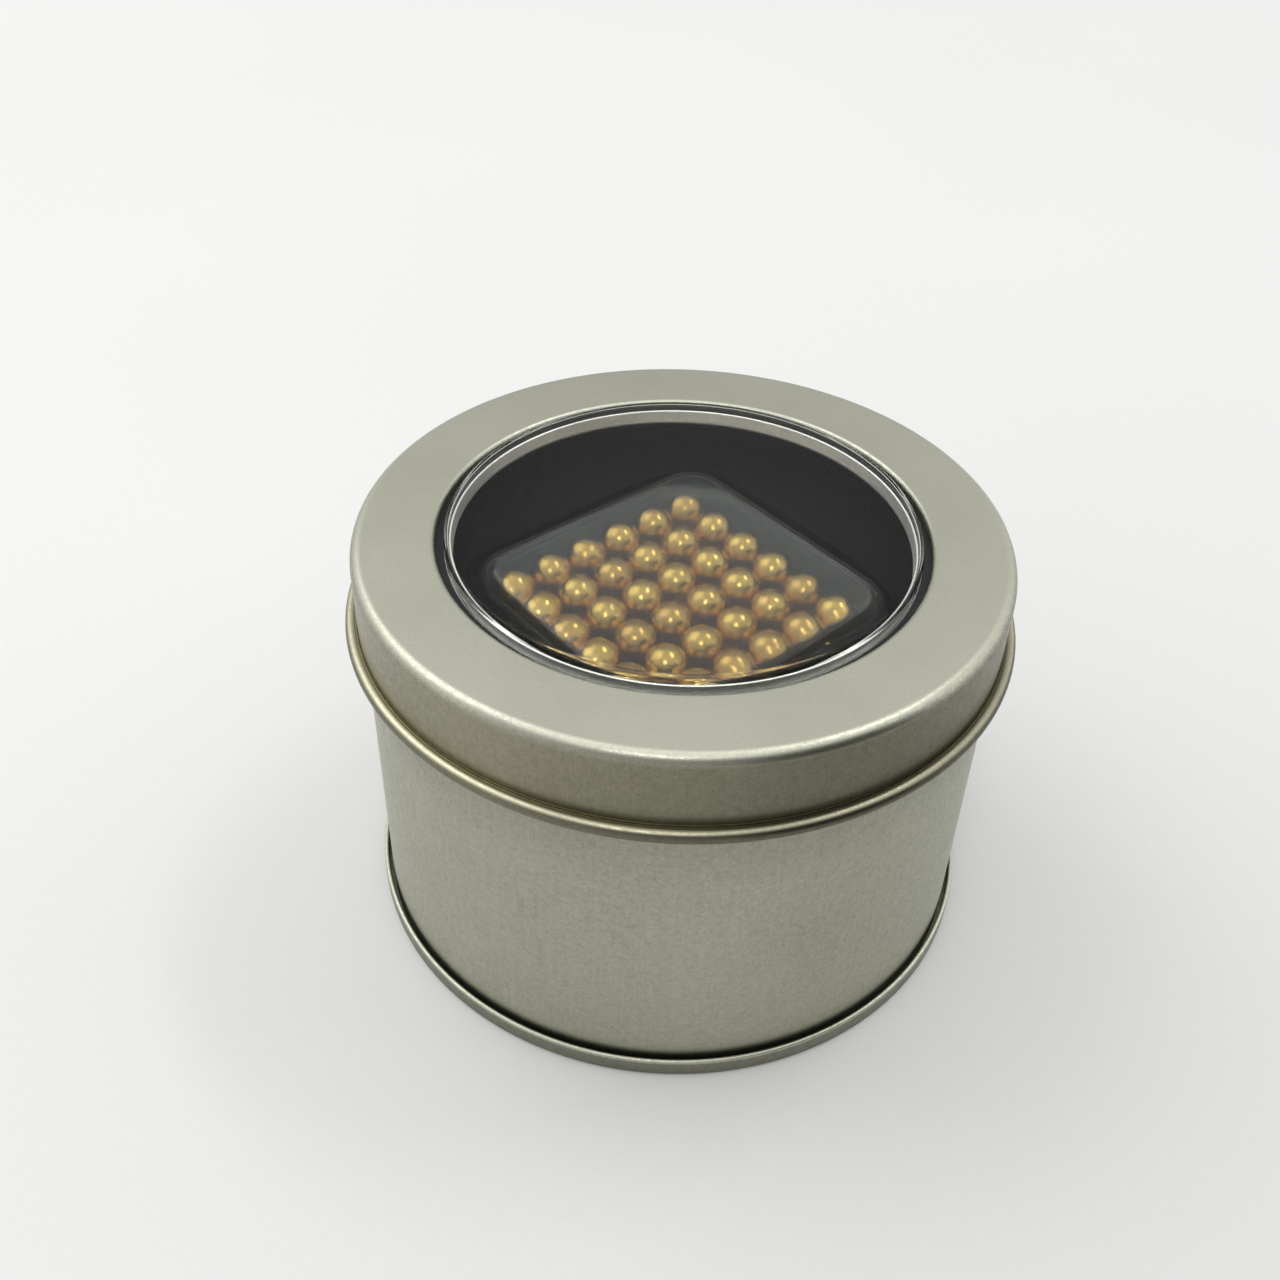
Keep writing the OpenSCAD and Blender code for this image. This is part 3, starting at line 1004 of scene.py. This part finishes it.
class TIN_OT_balls(Operator):
    """Lay the layers of gold balls"""

    bl_idname = "window_tin.balls"
    bl_label = "Balls"

    def execute(self, context):
        _, _, box, finish = sizes()
        gold = material_named("gold plate", gold_plate, finish.gold, finish.copper)
        tree = ball_grid_tree(gold)
        for layer in range(1, BALLS_PER_SIDE + 1):
            rows = [f"ball_layer_{layer}_row_{row}" for row in range(1, BALLS_PER_SIDE + 1)]
            middle = (Vector(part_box(rows[0])[0]) + Vector(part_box(rows[-1])[1])) / 2
            balls = grown(f"balls_layer_{layer}", tree, {
                "Count": BALLS_PER_SIDE, "Pitch": BALL_PITCH, "Diameter": BALL_D,
                "Middle": middle, "Turn": box.turn, "Seed": layer,
            })
            place(balls, f"ball_layer_{layer}", gold, "gold_ball", *rows)
        return {"FINISHED"}


# ---------------------------------------------------------------- stage

def ground_material(base):
    """A pale matt table top of a very slightly uneven tone."""
    material, graph, shader = new_material("pale ground")
    vector = object_vector(graph)
    broad = graph.noise(vector, 6.0, 2.0, 0.5)
    fine = graph.noise(vector, 900.0, 2.0, 0.5)
    tone = graph.math("ADD", graph.remap(broad, 0.3, 0.7, 0.985, 1.01),
                      graph.remap(fine, 0.3, 0.7, -0.006, 0.006))
    graph.feed(shader.inputs["Base Color"], tinted(graph, base, tone))
    shader.inputs["Roughness"].default_value = 0.6
    shader.inputs["Specular IOR Level"].default_value = 0.2
    return material


def area_lamp(name, power, size, location):
    """A soft lamp that points at the middle of the tin."""
    data = bpy.data.lights.new(name, "AREA")
    data.shape, data.energy = "RECTANGLE", power
    data.size, data.size_y = size
    lamp = bpy.data.objects.new(name, data)
    lamp.location = location
    away = Vector(LAMP_AIM) - Vector(location)
    lamp.rotation_euler = away.to_track_quat("-Z", "Y").to_euler()
    bpy.context.scene.collection.objects.link(lamp)


class TIN_OT_stage(Operator):
    """Make the floor, the lamps, the surroundings and the camera"""

    bl_idname = "window_tin.stage"
    bl_label = "Stage"

    def execute(self, context):
        self.make_floor()
        self.make_world()
        for lamp in LAMPS:
            area_lamp(*lamp)
        self.make_dark_card()
        self.make_camera()
        context.scene.view_settings.view_transform = "Standard"
        return {"FINISHED"}

    def make_floor(self):
        bm = bmesh.new()
        bmesh.ops.create_circle(bm, cap_ends=True, segments=64, radius=4.0)
        floor = finish_mesh("floor", bm)
        floor.data.materials.append(ground_material(sizes()[3].ground))

    def make_world(self):
        world = bpy.data.worlds.new("pale room")
        world.use_nodes = True
        bpy.context.scene.world = world
        graph = Graph(world.node_tree)
        background = node_of(world, "BACKGROUND")
        path = graph.add("ShaderNodeLightPath")
        seen = graph.math("MAXIMUM", path.outputs["Is Camera Ray"],
                          path.outputs["Is Transmission Ray"])
        towards = graph.add("ShaderNodeSeparateXYZ",
                            Vector=graph.add("ShaderNodeTexCoord").outputs["Generated"])
        across, up = towards.outputs["X"], towards.outputs["Z"]
        sides = graph.math("MULTIPLY", graph.math("MULTIPLY", across, across), 0.95)
        overhead = graph.remap(up, 0.66, 0.95, 0.56, 1.3)
        shape = graph.math("ADD", sides, overhead)
        plain = graph.remap(seen, 0.0, 1.0, 0.86, 0.9)
        strength = graph.add("ShaderNodeMix", {"data_type": "FLOAT"},
                             Factor=path.outputs["Is Glossy Ray"])
        graph.feed(strength.inputs[2], plain)
        graph.feed(strength.inputs[3], shape)
        graph.feed(background.inputs["Color"], (0.99, 1.0, 1.0, 1.0))
        graph.feed(background.inputs["Strength"], strength.outputs[0])

    def make_dark_card(self):
        """An unseen dark card that the right-hand front of the tin reflects."""
        bm = bmesh.new()
        bmesh.ops.create_grid(bm, x_segments=1, y_segments=1, size=0.12)
        card = finish_mesh("dark_card", bm)
        card.location = (0.17, -0.17, 0.12)
        card.rotation_euler = (math.pi / 2, 0.0, math.radians(45))
        card.data.materials.append(material_named("dark card", black_rubber, (0.03, 0.03, 0.03)))
        card.visible_camera = False

    def make_camera(self):
        data = bpy.data.cameras.new("camera")
        data.sensor_width, data.lens = CAMERA_SENSOR, CAMERA_LENS
        camera = bpy.data.objects.new("camera", data)
        elevation, roll = math.radians(CAMERA_DOWN), math.radians(CAMERA_ROLL)
        camera.location = [along * MM for along in CAMERA_PLACE]
        turn = Matrix.Rotation(math.pi / 2 - elevation, 4, "X") @ Matrix.Rotation(roll, 4, "Z")
        camera.rotation_euler = turn.to_euler()
        data.clip_start = 0.005
        bpy.context.scene.collection.objects.link(camera)
        bpy.context.scene.camera = camera


class TIN_PT_builder(Panel):
    """The sidebar panel that lists the builders"""

    bl_label = "Window Tin"
    bl_idname = "TIN_PT_builder"
    bl_space_type = "VIEW_3D"
    bl_region_type = "UI"
    bl_category = "Window Tin"

    def draw(self, context):
        column = self.layout.column(align=True)
        for operator in OPERATORS:
            column.operator(operator.bl_idname)
        for group in sizes():
            for key in group.bl_rna.properties.keys():
                if key not in {"rna_type", "name"}:
                    self.layout.prop(group, key)


GROUPS = {"tin_sizes": TinSizes, "window_sizes": WindowSizes, "box_sizes": BoxSizes,
          "tin_finish": Finish}
OPERATORS = (TIN_OT_stage, TIN_OT_body_wall, TIN_OT_base, TIN_OT_lid, TIN_OT_window,
             TIN_OT_foam, TIN_OT_plastic_box, TIN_OT_balls)


def register():
    for cls in (*GROUPS.values(), *OPERATORS, TIN_PT_builder):
        bpy.utils.register_class(cls)
    for name, group in GROUPS.items():
        setattr(bpy.types.Scene, name, PointerProperty(type=group))


def unregister():
    for name in GROUPS:
        delattr(bpy.types.Scene, name)
    for cls in reversed((*GROUPS.values(), *OPERATORS, TIN_PT_builder)):
        bpy.utils.unregister_class(cls)


def main():
    register()
    for operator in OPERATORS:
        family, name = operator.bl_idname.split(".")
        getattr(getattr(bpy.ops, family), name)()


if __name__ == "__main__":
    main()
